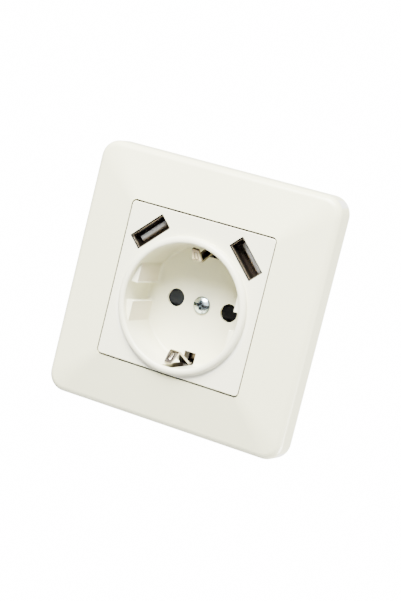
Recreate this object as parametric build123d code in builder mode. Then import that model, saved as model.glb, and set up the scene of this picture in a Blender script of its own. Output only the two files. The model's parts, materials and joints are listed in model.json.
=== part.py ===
from build123d import *
import os
from math import hypot, sqrt

# Flush wall socket with an earthed plug well and two charging ports.
# +X is right and +Z is up as seen from the room, and the front faces -Y.
# The origin is the middle of the cover frame on the wall. Heights are counted from the wall:
# above zero towards the room, below zero into the wall box. All sizes are millimetres.

# Cover frame
frame_width = 84.0
frame_corner_radius = 6.0
frame_edge_height = 7.9
frame_draft = 0.3
frame_edge_round = 2.4
frame_wall = 2.0
collar_wall = 1.6
collar_lift = 2.4
seat_depth = 4.0
seat_screw_gap = 0.5
frame_rib_thickness = 1.2
frame_rib_pitch = 34.0
frame_rib_lift = 0.4

# Centre plate
plate_width = 50.0
plate_front = 11.2
plate_gap = 0.28
plate_upright_play = 0.2
plate_corner_radius = 1.4
plate_edge_round = 0.35
plate_skin = 2.0
skirt_wall = 1.3
skirt_back = 5.0

# Plug well
well_radius = 19.5
well_depth = 17.5
well_wall = 1.5
floor_thickness = 1.0
floor_round = 0.8
rim_width = 2.3
rim_height = 1.9
rim_inner_round = 0.8
rim_outer_round = 1.3
rim_edge_margin = 0.24
guide_span = 34.0
guide_setback = 2.2
guide_slot = 6.0
pin_pitch = 19.0
pin_hole_diameter = 5.9

# Centre screw
screw_head_diameter = 5.6
screw_head_height = 1.5
screw_head_edge = 0.6
screw_diameter = 3.2
screw_length = 11.0
screw_hole_play = 0.3
screw_recess_width = 0.9
screw_recess_depth = 0.8
screw_cross_length = 3.2

# Shutter behind the pin holes
shutter_thickness = 2.3
shutter_clearance = 0.2
shutter_lap = 0.35
shutter_travel = 6.2
shutter_bar = 3.8
shutter_bar_clear = 0.9
shutter_blade_width = 7.2
shutter_ramp = 1.4
shutter_side_play = 0.2
shutter_rail = 1.4
shutter_stop_play = 0.1
spring_diameter = 2.0
spring_wire = 0.36
spring_wire_sides = 6
spring_turns = 7
spring_pocket = 3.0
spring_play = 0.35
spring_seat = 1.0
spring_seat_gap = 0.95

# Earth strap with its two clips
strap_width = 3.2
strap_thickness = 0.8
strap_bend = 1.0
clip_apex_radius = 14.7
clip_apex_setback = 5.2
clip_mouth_radius = 18.4
clip_mouth_setback = 1.5
clip_tip_width = 2.0
clip_arm_radius = 18.95
clip_heel_setback = 15.0
clip_slot_play = 0.3
clip_slot_lead = 0.4
clip_floor_radius = 15.7
strap_disc_radius = 4.6
strap_collar_wall = 1.0
strap_collar_depth = 2.0
thread_play = 0.05

# Charging ports
port_length = 12.2
port_height = 4.6
port_lip = 0.35
port_skin = 0.4
port_corner_round = 0.4
port_edge_margin = 0.68
shell_wall = 0.25
shell_depth = 14.0
shell_play = 0.1
shell_side_play = 0.2
tongue_side_gap = 0.7
tongue_thickness = 1.8
tongue_outer_gap = 0.8
tongue_setback = 4.0
tongue_root = 2.9
tongue_play = 0.1
tongue_round = 0.3
port_contact_width = 1.0
port_contact_thickness = 0.25
port_contact_pitch = 2.3
port_contact_setback = 0.8

# Support ring
ring_width = 71.0
ring_thickness = 1.2
ring_corner_radius = 6.0
ring_play = 0.8
ring_port_reach = 3.0
box_screw_spacing = 60.0
box_slot_width = 3.8
box_slot_length = 6.5
ring_screw_diameter = 2.2
ring_screw_head = 4.0
ring_screw_head_height = 1.3
ring_screw_length = 7.0

# Socket base
base_wall = 1.6
base_play = 0.4
base_depth = 29.0
deck_thickness = 2.4
block_width = 43.0
block_inset = 0.6
boss_radius = 2.0
boss_inset = 0.2
boss_core_gap = 0.5
lower_boss_offset = 18.4
pin_way_play = 0.15

# Mains contacts and terminals
contact_width = 6.0
contact_sheet = 0.8
contact_mouth = 6.4
contact_waist = 4.4
contact_heel = 5.4
contact_bend = 0.7
contact_lead = 0.6
contact_waist_depth = 2.6
contact_depth = 10.2
chamber_play = 0.4
terminal_setback = 6.1
terminal_reach = 4.0
washer_gap = 0.55
washer_thickness = 1.2
terminal_screw_diameter = 3.2
terminal_screw_head = 5.6
terminal_screw_head_height = 2.0
terminal_screw_length = 6.4
terminal_barrier = 1.2
wire_notch_width = 4.4
wire_notch_depth = 5.0

# Rear cover
cover_thickness = 2.0
cover_bottom = 9.5
cover_lip = 1.2
cover_lip_height = 1.5
cover_lip_play = 0.2
cover_edge_bevel = 0.6
cover_screw_gap = 0.5
cover_screw_rise = 9.0
cover_screw_diameter = 2.2
cover_screw_head = 4.2
cover_screw_head_height = 1.2
cover_screw_length = 8.0
cover_screw_play = 0.2

# Charger board and the parts on it
charger_room = 8.7
board_thickness = 1.6
board_play = 0.5
board_bottom = 7.0
board_post_radius = 1.5
board_post_gap = 1.0
board_post_margin = 0.3
board_window_margin = 2.0
core_width = 11.0
core_thickness = 5.0
core_height = 11.0
core_leg = 3.0
core_yoke = 1.8
winding_build = 0.6
winding_play = 0.1
capacitor_diameter = 5.6
capacitor_length = 10.0
capacitor_gap = 1.9
capacitor_wall_gap = 1.2
capacitor_bevel = 0.4

# Spreading claws
claw_sheet = 1.2
claw_width = 10.0
claw_fork = 5.4
claw_bend = 1.0
claw_stand_off = 0.4
claw_pivot_gap = 2.7
claw_pivot_inset = 1.1
claw_pivot_drop = 3.8
claw_knee = 2.9
claw_tip_depth = 3.4
claw_tooth = 2.2
claw_tooth_rise = 0.8
claw_toe_reach = 1.4
claw_trunnion_radius = 1.5
claw_running_play = 0.06
claw_ear_radius = 2.8
claw_ear_gap = 0.3
claw_ear_thickness = 1.8
claw_screw_diameter = 2.9
claw_screw_head = 5.0
claw_screw_head_height = 1.6
claw_screw_gap = 0.4
claw_screw_clear = 0.85

# Screw heads: the slot across each of the small ones
head_slot_width = 0.8
head_slot_depth = 0.6

# Reach within which an edge counts as lying in a plane
plane_reach = 0.001

# Heights of the layers, from the room into the wall
rim_front = plate_front + rim_height
guide_front = rim_front - guide_setback
floor_front = rim_front - well_depth
floor_back = floor_front - floor_thickness
shutter_front = floor_back - shutter_clearance
shutter_back = shutter_front - shutter_thickness
deck_front = shutter_back - shutter_clearance
deck_back = deck_front - deck_thickness
strap_back = deck_front - strap_thickness
contact_front = deck_back - contact_lead
contact_back = contact_front - contact_depth
terminal_floor = contact_back + contact_sheet / 2
terminal_face = contact_back - contact_sheet / 2
washer_back = terminal_face - washer_thickness
base_back = -base_depth
port_front = plate_front - port_skin - shell_play
shell_back = port_front - shell_depth
board_back = shell_back - board_thickness
tongue_front = plate_front - tongue_setback
collar_back = ring_thickness + collar_lift
claw_pivot_depth = claw_pivot_drop - deck_back
claw_screw_end = claw_sheet / 2 + claw_screw_gap - claw_pivot_depth

# Places that follow from the sizes above
rim_radius = well_radius + rim_width
well_drop = plate_width / 2 - rim_radius - rim_edge_margin
well_outer_radius = well_radius + well_wall
opening_width = plate_width + 2 * plate_gap
opening_corner_radius = plate_corner_radius + plate_gap
collar_width = opening_width + 2 * collar_wall
collar_corner_radius = opening_corner_radius + collar_wall
frame_front_width = frame_width - 2 * frame_draft
frame_front_radius = frame_corner_radius - frame_draft
shell_length = port_length + 2 * shell_wall
shell_height = port_height + 2 * shell_wall
port_corner = plate_width / 2 - skirt_wall - port_edge_margin
port_centre = port_corner - (shell_length + shell_height) / 2 / sqrt(2)
port_corner_low = port_centre - (shell_length - shell_height) / 2 / sqrt(2)
tongue_width = port_length - 2 * tongue_side_gap
tongue_place = port_height / 2 - tongue_outer_gap - tongue_thickness / 2
port_contact_place = tongue_place - (tongue_thickness + port_contact_thickness) / 2
board_hollow_radius = well_outer_radius + ring_play
# The base is round enough for the ports and the charger, and its flats clear the ports and the claws
port_reach = hypot(port_corner, port_corner_low) + base_play
charger_reach = board_hollow_radius - well_drop + charger_room
base_radius = max(port_reach, charger_reach) + base_wall
base_flat = max(port_corner + base_play + base_wall, block_width / 2 + claw_pivot_gap + claw_pivot_inset)
claw_pivot = base_flat - claw_pivot_inset
block_radius = base_radius - block_inset
strap_end = clip_arm_radius + strap_thickness / 2 + clip_slot_play
block_bottom = well_drop + strap_end + base_wall
boss_circle = base_radius - boss_radius - boss_inset
seat_radius = max(opening_width / sqrt(2) - seat_depth, boss_circle + ring_screw_head / 2 + seat_screw_gap)
upper_boss_offset = core_width / 2 + boss_core_gap + boss_radius
upper_boss_rise = sqrt(boss_circle**2 - upper_boss_offset**2)
lower_boss_rise = sqrt(boss_circle**2 - lower_boss_offset**2)
upper_boss_spots = [(-upper_boss_offset, upper_boss_rise), (upper_boss_offset, upper_boss_rise)]
lower_boss_spots = [(-lower_boss_offset, -lower_boss_rise), (lower_boss_offset, -lower_boss_rise)]
ring_boss_spots = upper_boss_spots + lower_boss_spots
board_post_offset = base_flat - base_wall - board_post_gap - board_post_radius
board_post_rise = board_bottom + board_post_radius + board_post_margin
board_post_spots = [(-board_post_offset, board_post_rise), (board_post_offset, board_post_rise)]
clip_slot_width = strap_width + 2 * clip_slot_play
clip_slot_front = rim_front - clip_mouth_setback + clip_slot_lead
clip_slot_end = max(well_outer_radius, strap_end)
shutter_bottom = -pin_hole_diameter / 2 - shutter_lap
shutter_bar_bottom = pin_hole_diameter / 2 + shutter_lap + shutter_bar_clear
shutter_top = shutter_bar_bottom + shutter_bar
shutter_half_width = (pin_pitch + shutter_blade_width) / 2
spring_bottom = shutter_top - spring_pocket
spring_top = clip_arm_radius - strap_thickness / 2 - spring_seat_gap - spring_seat
spring_height = (shutter_front + shutter_back) / 2
chamber_width = contact_width + 2 * chamber_play
chamber_height = contact_mouth + 2 * contact_sheet + 2 * chamber_play
charger_floor = chamber_height / 2 + base_wall - well_drop
terminal_drop = block_bottom - base_wall - terminal_setback
terminal_spots = [(-pin_pitch / 2, -terminal_drop), (0, -terminal_drop), (pin_pitch / 2, -terminal_drop)]
terminal_rise = well_drop - terminal_drop
washer_width = pin_pitch / 2 - terminal_barrier - 2 * washer_gap
cover_lip_inset = base_wall + cover_lip_play
cover_screw_offset = block_width / 2 - cover_lip_inset - cover_lip - cover_screw_gap - boss_radius
cover_screw_spots = [(-cover_screw_offset, cover_screw_rise), (cover_screw_offset, cover_screw_rise)]
claw_arm = base_flat + claw_stand_off + claw_sheet / 2
claw_screw_place = base_flat + claw_screw_clear + claw_screw_diameter / 2
claw_screw_spots = [(-claw_screw_place, 0), (claw_screw_place, 0)]
claw_toe_end = claw_screw_place + claw_toe_reach
# The transformer stands midway between the well and the block's wall, the capacitors beside it
transformer_rise = (board_hollow_radius - well_drop + block_radius - base_wall) / 2
winding_depth = core_thickness + 2 * (winding_play + winding_build)
capacitor_offset = core_width / 2 + capacitor_gap + capacitor_diameter / 2
capacitor_circle = block_radius - base_wall - capacitor_wall_gap - capacitor_diameter / 2
capacitor_rise = sqrt(capacitor_circle**2 - capacitor_offset**2)
board_window_reach = capacitor_offset + capacitor_diameter / 2 + board_window_margin
window_width = core_width / 2 - core_leg / 2 - core_yoke
window_height = core_height - 2 * core_yoke
well_axis = Axis((0, 0, -well_drop), (0, -1, 0))
sides = {"left": -1, "right": 1}

os.makedirs("parts", exist_ok=True)


def level(height):
    # Plane parallel to the wall, facing the room
    return Plane.XZ.offset(height)


def well_level(height):
    # The same, centred on the plug well
    return Plane(origin=(0, -height, -well_drop), x_dir=(1, 0, 0), z_dir=(0, -1, 0))


def port_level(side, height):
    # The same, centred on a port: the first axis runs along the port, the second points outwards
    return Plane(origin=(side * port_centre, -height, port_centre), x_dir=(1, 0, -side), z_dir=(0, -1, 0))


def across(rise):
    # Plane seen from below: the first axis is a place to the right, the second a height
    return Plane(origin=(0, 0, rise), x_dir=(1, 0, 0), z_dir=(0, 0, -1))


def upright(place):
    # Plane seen from the side: the first axis is a height, the second rises from the well's middle
    return Plane(origin=(place, 0, -well_drop), x_dir=(0, -1, 0), z_dir=(-1, 0, 0))


def square(width, radius, mode=Mode.ADD):
    RectangleRounded(width, width, radius, mode=mode)


def at_height(piece, height):
    # Edges that lie in one plane parallel to the wall
    return piece.edges().filter_by_position(Axis.Y, -height - plane_reach, -height + plane_reach)


def above(bottom, width, mode):
    # Rectangle that reaches from a level upwards past the base
    with Locations((0, bottom + base_radius)):
        Rectangle(width, 2 * base_radius, mode=mode)


def base_outline(inset=0):
    # Round base with two flats for the claws
    Circle(base_radius - inset)
    Rectangle(2 * (base_flat - inset), 2 * base_radius, mode=Mode.INTERSECT)


def block_outline(inset=0, bottom=-block_bottom):
    # Rear block: round top, straight sides and a flat bottom
    Circle(block_radius - inset)
    above(bottom, block_width - 2 * inset, Mode.INTERSECT)


def slotted_heads(spots, face, diameter, height, direction):
    # Pan heads that stand on a face, with a slot across each
    with BuildSketch(level(face)) as heads:
        with Locations(*spots):
            Circle(diameter / 2)
    extrude(heads.sketch, amount=direction * height)
    with BuildSketch(level(face + direction * height)) as slots:
        with Locations(*spots):
            Rectangle(diameter, head_slot_width)
    extrude(slots.sketch, amount=-direction * head_slot_depth, mode=Mode.SUBTRACT)


def shanks(spots, face, diameter, length):
    with BuildSketch(level(face)) as rounds:
        with Locations(*spots):
            Circle(diameter / 2)
    extrude(rounds.sketch, amount=length)


def save(piece, name):
    piece.part.label = name
    export_step(piece.part, f"parts/{name}.step")


# Cover frame: drafted side wall, and a face that rises in four facets to the opening
with BuildPart() as frame_hollow:
    with BuildSketch(level(0)):
        square(frame_width - 2 * frame_wall, frame_corner_radius - frame_wall)
    with BuildSketch(level(frame_edge_height - frame_wall)):
        square(frame_front_width - 2 * frame_wall, frame_front_radius - frame_wall)
    loft()
    with BuildSketch(level(frame_edge_height - frame_wall)):
        square(frame_front_width - 2 * frame_wall, frame_front_radius - frame_wall)
    with BuildSketch(level(plate_front - frame_wall)):
        square(collar_width, collar_corner_radius)
    loft()
    with BuildSketch(level(collar_back)):
        square(collar_width, collar_corner_radius)
    extrude(amount=plate_front - collar_back, mode=Mode.SUBTRACT)
    with BuildSketch(level(ring_thickness + frame_rib_lift)):
        with GridLocations(frame_rib_pitch, 0, 2, 1):
            Rectangle(frame_rib_thickness, frame_width)
        with GridLocations(0, frame_rib_pitch, 1, 2):
            Rectangle(frame_width, frame_rib_thickness)
    extrude(amount=plate_front, mode=Mode.SUBTRACT)

with BuildPart() as cover_frame:
    with BuildSketch(level(0)):
        square(frame_width, frame_corner_radius)
    with BuildSketch(level(frame_edge_height)):
        square(frame_front_width, frame_front_radius)
    loft()
    with BuildSketch(level(frame_edge_height)):
        square(frame_front_width, frame_front_radius)
    with BuildSketch(level(plate_front)):
        square(opening_width, opening_corner_radius)
    loft()
    fillet(at_height(cover_frame, frame_edge_height), radius=frame_edge_round)
    add(frame_hollow.part, mode=Mode.SUBTRACT)
    with BuildSketch(level(0)):
        RectangleRounded(opening_width, opening_width + 2 * plate_upright_play, opening_corner_radius)
    extrude(amount=plate_front, mode=Mode.SUBTRACT)
    with BuildSketch(level(ring_thickness)):
        square(collar_width, collar_corner_radius)
        Circle(seat_radius, mode=Mode.SUBTRACT)
    extrude(amount=skirt_back - ring_thickness)
save(cover_frame, "cover_frame")

# Centre plate: face, skirt and plug well in one moulding
with BuildPart() as centre_plate:
    with BuildSketch(level(plate_front - plate_skin)):
        square(plate_width, plate_corner_radius)
    extrude(amount=plate_skin)
    fillet(at_height(centre_plate, plate_front), radius=plate_edge_round)
    with BuildSketch(level(skirt_back)):
        square(plate_width, plate_corner_radius)
        offset(amount=-skirt_wall, mode=Mode.SUBTRACT)
    extrude(amount=plate_front - plate_skin - skirt_back)
    with BuildSketch(well_level(floor_back)):
        Circle(well_outer_radius)
    extrude(amount=plate_front - plate_skin - floor_back)
    # The hollow leaves the four guide ribs standing, two on each side of the pin line
    with BuildSketch(well_level(floor_front)):
        Circle(well_radius)
        with GridLocations(guide_span / 2 + well_radius, guide_slot / 2 + well_radius, 2, 2):
            Rectangle(well_radius - guide_span / 2, well_radius - guide_slot / 2, mode=Mode.SUBTRACT)
    extrude(amount=guide_front - floor_front, mode=Mode.SUBTRACT)
    fillet(at_height(centre_plate, floor_front), radius=floor_round)
    with BuildSketch(well_level(guide_front)):
        Circle(well_radius)
    extrude(amount=rim_height, mode=Mode.SUBTRACT)
    with BuildSketch(across(-well_drop)) as rim_profile:
        with Locations((well_radius, plate_front - plate_skin)):
            Rectangle(rim_width, rim_height + plate_skin, align=(Align.MIN, Align.MIN))
        fillet(rim_profile.vertices().group_by(Axis.Y)[-1].sort_by(Axis.X)[0], radius=rim_inner_round)
        fillet(rim_profile.vertices().group_by(Axis.Y)[-1].sort_by(Axis.X)[-1], radius=rim_outer_round)
    revolve(axis=well_axis)
    with BuildSketch(well_level(floor_back)):
        with GridLocations(pin_pitch, 0, 2, 1):
            Circle(pin_hole_diameter / 2)
        Circle(screw_diameter / 2 + screw_hole_play)
    extrude(amount=floor_thickness, mode=Mode.SUBTRACT)
    # Slots in the well's floor and wall that the earth clips spring back into
    with BuildSketch(well_level(floor_back)):
        with GridLocations(0, clip_floor_radius + clip_slot_end, 1, 2):
            Rectangle(clip_slot_width, clip_slot_end - clip_floor_radius)
    extrude(amount=clip_slot_front - floor_back, mode=Mode.SUBTRACT)
    for side in sides.values():
        with BuildSketch(port_level(side, plate_front)):
            RectangleRounded(port_length + 2 * port_lip, port_height + 2 * port_lip, port_corner_round)
        extrude(amount=-plate_skin, mode=Mode.SUBTRACT)
        with BuildSketch(port_level(side, plate_front - port_skin)):
            Rectangle(shell_length + 2 * shell_side_play, shell_height + 2 * shell_side_play)
        extrude(amount=floor_back - plate_front + port_skin, mode=Mode.SUBTRACT)
save(centre_plate, "centre_plate")

# Centre screw: domed head with a slot and a cross, threaded into the earth strap
with BuildPart() as centre_screw:
    with BuildSketch(across(-well_drop)):
        with BuildLine():
            head_edge = (screw_head_diameter / 2, floor_front + screw_head_edge)
            head_top = (0, floor_front + screw_head_height)
            Polyline(
                head_top,
                (0, floor_front - screw_length),
                (screw_diameter / 2, floor_front - screw_length),
                (screw_diameter / 2, floor_front),
                (screw_head_diameter / 2, floor_front),
                head_edge,
            )
            TangentArc(head_top, head_edge, tangent=(1, 0))
        make_face()
    revolve(axis=well_axis)
    with BuildSketch(well_level(floor_front + screw_head_height)):
        Rectangle(screw_head_diameter, screw_recess_width)
        Rectangle(screw_recess_width, screw_cross_length)
    extrude(amount=-screw_recess_depth, mode=Mode.SUBTRACT)
save(centre_screw, "centre_screw")

# Shutter: two blades on a bar, pushed up by the plug pins on their ramps
with BuildPart() as shutter:
    with BuildSketch(well_level(shutter_back)):
        with Locations((0, shutter_bar_bottom)):
            Rectangle(2 * shutter_half_width, shutter_bar, align=(Align.CENTER, Align.MIN))
        with Locations((-pin_pitch / 2, shutter_bottom), (pin_pitch / 2, shutter_bottom)):
            Rectangle(shutter_blade_width, shutter_top - shutter_bottom, align=(Align.CENTER, Align.MIN))
        with Locations((0, spring_bottom)):
            Rectangle(
                spring_diameter + 2 * spring_play,
                spring_pocket,
                align=(Align.CENTER, Align.MIN),
                mode=Mode.SUBTRACT,
            )
    extrude(amount=shutter_thickness)
    ramp_edges = at_height(shutter, shutter_front).filter_by(Axis.X).group_by(Axis.Z)[0]
    chamfer(ramp_edges, length=shutter_ramp)
save(shutter, "shutter")

with BuildPart() as shutter_spring:
    with BuildLine() as coil:
        Helix(
            pitch=(spring_top - spring_bottom - spring_wire) / spring_turns,
            height=spring_top - spring_bottom - spring_wire,
            radius=(spring_diameter - spring_wire) / 2,
            center=(0, -spring_height, spring_bottom + spring_wire / 2 - well_drop),
        )
    with BuildSketch(Plane(origin=coil.line @ 0, z_dir=coil.line % 0)):
        RegularPolygon(spring_wire / 2, spring_wire_sides)
    sweep(path=coil.line, is_frenet=True)
save(shutter_spring, "shutter_spring")

# Earth strap: one bent strip with a clip at each end, a threaded disc and a terminal tail
clip_path = [
    (rim_front - clip_mouth_setback, clip_mouth_radius),
    (rim_front - clip_apex_setback, clip_apex_radius),
    (rim_front - clip_heel_setback, clip_arm_radius),
    (strap_back + strap_thickness / 2, clip_arm_radius),
]
with BuildPart() as earth_strap:
    with BuildSketch(upright(0)):
        with BuildLine():
            lower_path = [(height, -rise) for height, rise in reversed(clip_path)]
            FilletPolyline(*clip_path, *lower_path, radius=strap_bend)
        trace(line_width=strap_thickness)
    extrude(amount=strap_width / 2, both=True)
    # The front legs narrow towards their tips
    with BuildSketch(well_level(rim_front)):
        with BuildLine():
            Polyline(
                (strap_width / 2, clip_apex_radius + strap_bend),
                (strap_width / 2, clip_mouth_radius + strap_thickness),
                (clip_tip_width / 2, clip_mouth_radius + strap_thickness),
                close=True,
            )
        make_face()
        mirror(about=Plane.YZ)
        mirror(about=Plane.XZ)
    extrude(amount=-clip_apex_setback, mode=Mode.SUBTRACT)
    with BuildSketch(upright(0)):
        with BuildLine():
            FilletPolyline(
                (deck_front + strap_bend, -clip_arm_radius),
                (contact_back, -clip_arm_radius),
                (contact_back, terminal_rise),
                radius=strap_bend,
            )
        trace(line_width=strap_thickness)
    extrude(amount=strap_width / 2, both=True)
    with BuildSketch(well_level(strap_back)):
        Circle(strap_disc_radius)
    extrude(amount=strap_thickness)
    with BuildSketch(well_level(strap_back)):
        Circle(screw_diameter / 2 + strap_collar_wall)
    extrude(amount=-strap_collar_depth)
    with BuildSketch(well_level(deck_front)):
        Circle(screw_diameter / 2 + thread_play)
    extrude(amount=-strap_thickness - strap_collar_depth, mode=Mode.SUBTRACT)
    with BuildSketch(level(contact_back - strap_thickness / 2)):
        with Locations((0, -terminal_drop)):
            Rectangle(contact_width, 2 * terminal_reach)
    extrude(amount=strap_thickness)
    with BuildSketch(level(contact_back - strap_thickness / 2)):
        with Locations((0, -terminal_drop)):
            Circle(terminal_screw_diameter / 2 + thread_play)
    extrude(amount=strap_thickness, mode=Mode.SUBTRACT)
save(earth_strap, "earth_strap")

# Mains contacts: two sprung leaves round each pin, and a back that runs down to the terminal
leaf = [
    (contact_front, (contact_mouth + contact_sheet) / 2),
    (contact_front - contact_waist_depth, (contact_waist + contact_sheet) / 2),
    (contact_back, (contact_heel + contact_sheet) / 2),
]
for name, side in {"line_contact": -1, "neutral_contact": 1}.items():
    with BuildPart() as contact:
        with BuildSketch(upright(side * pin_pitch / 2)):
            with BuildLine():
                FilletPolyline(*leaf, (contact_back, terminal_rise - terminal_reach), radius=contact_bend)
            trace(line_width=contact_sheet)
        extrude(amount=contact_width / 2, both=True)
        with BuildSketch(upright(side * pin_pitch / 2)):
            with BuildLine():
                FilletPolyline(*[(height, -rise) for height, rise in leaf], radius=contact_bend)
            trace(line_width=contact_sheet)
        extrude(amount=contact_width / 2, both=True)
        with BuildSketch(level(terminal_face)):
            with Locations((side * pin_pitch / 2, -terminal_drop)):
                Circle(terminal_screw_diameter / 2 + thread_play)
        extrude(amount=contact_sheet, mode=Mode.SUBTRACT)
    save(contact, name)

with BuildPart() as clamp_washers:
    with BuildSketch(level(washer_back)):
        with Locations(*terminal_spots):
            Rectangle(washer_width, washer_width)
            Circle(terminal_screw_diameter / 2 + screw_hole_play, mode=Mode.SUBTRACT)
    extrude(amount=washer_thickness)
save(clamp_washers, "clamp_washers")

with BuildPart() as terminal_screws:
    slotted_heads(terminal_spots, washer_back, terminal_screw_head, terminal_screw_head_height, -1)
    shanks(terminal_spots, washer_back, terminal_screw_diameter, terminal_screw_length)
save(terminal_screws, "terminal_screws")

# Support ring: flat steel plate with the box screw slots
with BuildPart() as support_ring:
    with BuildSketch(level(0)):
        square(ring_width, ring_corner_radius)
        with GridLocations(0, box_screw_spacing, 1, 2):
            SlotOverall(box_slot_length, box_slot_width, rotation=90, mode=Mode.SUBTRACT)
        with Locations(*claw_screw_spots):
            Circle(claw_screw_diameter / 2 + thread_play, mode=Mode.SUBTRACT)
        with Locations(*ring_boss_spots):
            Circle(ring_screw_diameter / 2 + screw_hole_play, mode=Mode.SUBTRACT)
        with Locations((0, -well_drop)):
            Circle(board_hollow_radius, mode=Mode.SUBTRACT)
    extrude(amount=ring_thickness)
    for side in sides.values():
        with BuildSketch(port_level(side, 0)):
            with Locations((0, shell_height / 2 + ring_play)):
                Rectangle(
                    shell_length + 2 * ring_play,
                    shell_height + 2 * ring_play + ring_port_reach,
                    align=(Align.CENTER, Align.MAX),
                )
        extrude(amount=ring_thickness, mode=Mode.SUBTRACT)
save(support_ring, "support_ring")

with BuildPart() as ring_screws:
    slotted_heads(ring_boss_spots, ring_thickness, ring_screw_head, ring_screw_head_height, 1)
    shanks(ring_boss_spots, ring_thickness, ring_screw_diameter, -ring_screw_length)
save(ring_screws, "ring_screws")

# Socket base: a cup that takes the well and the ports, a deck for the shutter and a rear block
with BuildPart() as socket_base:
    with BuildSketch(level(deck_back)):
        base_outline()
    extrude(amount=-deck_back)
    with BuildSketch(level(deck_front)):
        base_outline(base_wall)
    extrude(amount=-deck_front, mode=Mode.SUBTRACT)
    with BuildSketch(level(deck_front)):
        with Locations(*ring_boss_spots):
            Circle(boss_radius)
    extrude(amount=-deck_front)
    with BuildSketch(level(deck_front)):
        with Locations(*board_post_spots):
            Circle(board_post_radius)
    extrude(amount=board_back - deck_front)
    # Rails, stops and spring seat of the shutter
    with BuildSketch(well_level(deck_front)):
        for side in sides.values():
            rail_place = side * (shutter_half_width + shutter_side_play + shutter_rail / 2)
            stop_place = side * (shutter_half_width - shutter_rail / 2)
            rail_bottom = shutter_bottom - shutter_stop_play - shutter_rail
            rail_top = shutter_top + shutter_travel
            with Locations((rail_place, rail_bottom)):
                Rectangle(shutter_rail, rail_top - rail_bottom, align=(Align.CENTER, Align.MIN))
            with Locations((stop_place, shutter_bottom - shutter_stop_play)):
                Rectangle(2 * shutter_rail, shutter_rail, align=(Align.CENTER, Align.MAX))
        with Locations((0, spring_top)):
            Rectangle(spring_diameter + 2 * spring_seat, spring_seat, align=(Align.CENTER, Align.MIN))
    extrude(amount=shutter_front - deck_front)
    with BuildSketch(level(terminal_floor)):
        block_outline()
    extrude(amount=deck_back - terminal_floor)
    with BuildSketch(level(base_back)):
        block_outline()
        offset(amount=-base_wall, mode=Mode.SUBTRACT)
    extrude(amount=terminal_floor - base_back)
    # Charger hollow, with a window in the deck for what stands on the board
    with BuildSketch(level(base_back)):
        block_outline(base_wall, charger_floor)
    extrude(amount=deck_back - base_back, mode=Mode.SUBTRACT)
    with BuildSketch(level(deck_back)):
        block_outline(base_wall, charger_floor)
        Rectangle(2 * board_window_reach, 2 * base_radius, mode=Mode.INTERSECT)
        with Locations((0, -well_drop)):
            Circle(board_hollow_radius, mode=Mode.SUBTRACT)
        with Locations(*upper_boss_spots):
            Circle(boss_radius, mode=Mode.SUBTRACT)
    extrude(amount=deck_thickness, mode=Mode.SUBTRACT)
    # Partition under the rear cover's lower edge, and barriers between the terminals
    with BuildSketch(level(base_back)):
        with Locations((0, -cover_bottom)):
            Rectangle(block_width, base_wall, align=(Align.CENTER, Align.MIN))
    extrude(amount=terminal_face - chamber_play - base_back)
    with BuildSketch(level(base_back)):
        with GridLocations(pin_pitch / 2, 0, 2, 1):
            with Locations((0, -cover_bottom)):
                Rectangle(terminal_barrier, block_bottom - cover_bottom, align=(Align.CENTER, Align.MAX))
    extrude(amount=terminal_floor - base_back)
    with BuildSketch(level(base_back)):
        with Locations(*[(place, -block_bottom) for place, rise in terminal_spots]):
            Rectangle(wire_notch_width, 2 * base_wall)
    extrude(amount=wire_notch_depth, mode=Mode.SUBTRACT)
    # Contact chambers and the ways of the plug pins
    with BuildSketch(well_level(terminal_floor)):
        with GridLocations(pin_pitch, 0, 2, 1):
            Rectangle(chamber_width, chamber_height)
    extrude(amount=deck_back - terminal_floor, mode=Mode.SUBTRACT)
    with BuildSketch(well_level(deck_back)):
        with GridLocations(pin_pitch, 0, 2, 1):
            Circle(pin_hole_diameter / 2 + pin_way_play)
    extrude(amount=deck_thickness, mode=Mode.SUBTRACT)
    # Groove and slot of the earth strap, and the centre screw's way
    with BuildSketch(well_level(strap_back)):
        Rectangle(clip_slot_width, 2 * strap_end)
        Circle(strap_disc_radius + clip_slot_play)
    extrude(amount=strap_thickness, mode=Mode.SUBTRACT)
    with BuildSketch(well_level(strap_back)):
        Circle(screw_diameter / 2 + strap_collar_wall + clip_slot_play)
    extrude(amount=floor_front - screw_length - strap_back - screw_hole_play, mode=Mode.SUBTRACT)
    with BuildSketch(well_level(terminal_floor)):
        with Locations((0, -strap_end)):
            Rectangle(
                clip_slot_width,
                strap_thickness + clip_slot_play + strap_bend,
                align=(Align.CENTER, Align.MIN),
            )
    extrude(amount=deck_front - terminal_floor, mode=Mode.SUBTRACT)
    with BuildSketch(level(terminal_floor)):
        with Locations(*terminal_spots):
            Circle(terminal_screw_diameter / 2 + screw_hole_play)
    extrude(amount=terminal_screw_length, mode=Mode.SUBTRACT)
    # Pillars of the rear cover's screws
    with BuildSketch(level(base_back)):
        with Locations(*cover_screw_spots):
            Circle(boss_radius)
    extrude(amount=deck_back - base_back)
    with BuildSketch(level(base_back)):
        with Locations(*cover_screw_spots):
            Circle(cover_screw_diameter / 2 + thread_play)
    extrude(amount=cover_screw_length, mode=Mode.SUBTRACT)
    with BuildSketch(level(0)):
        with Locations(*ring_boss_spots):
            Circle(ring_screw_diameter / 2 + thread_play)
    extrude(amount=-ring_screw_length, mode=Mode.SUBTRACT)
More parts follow.
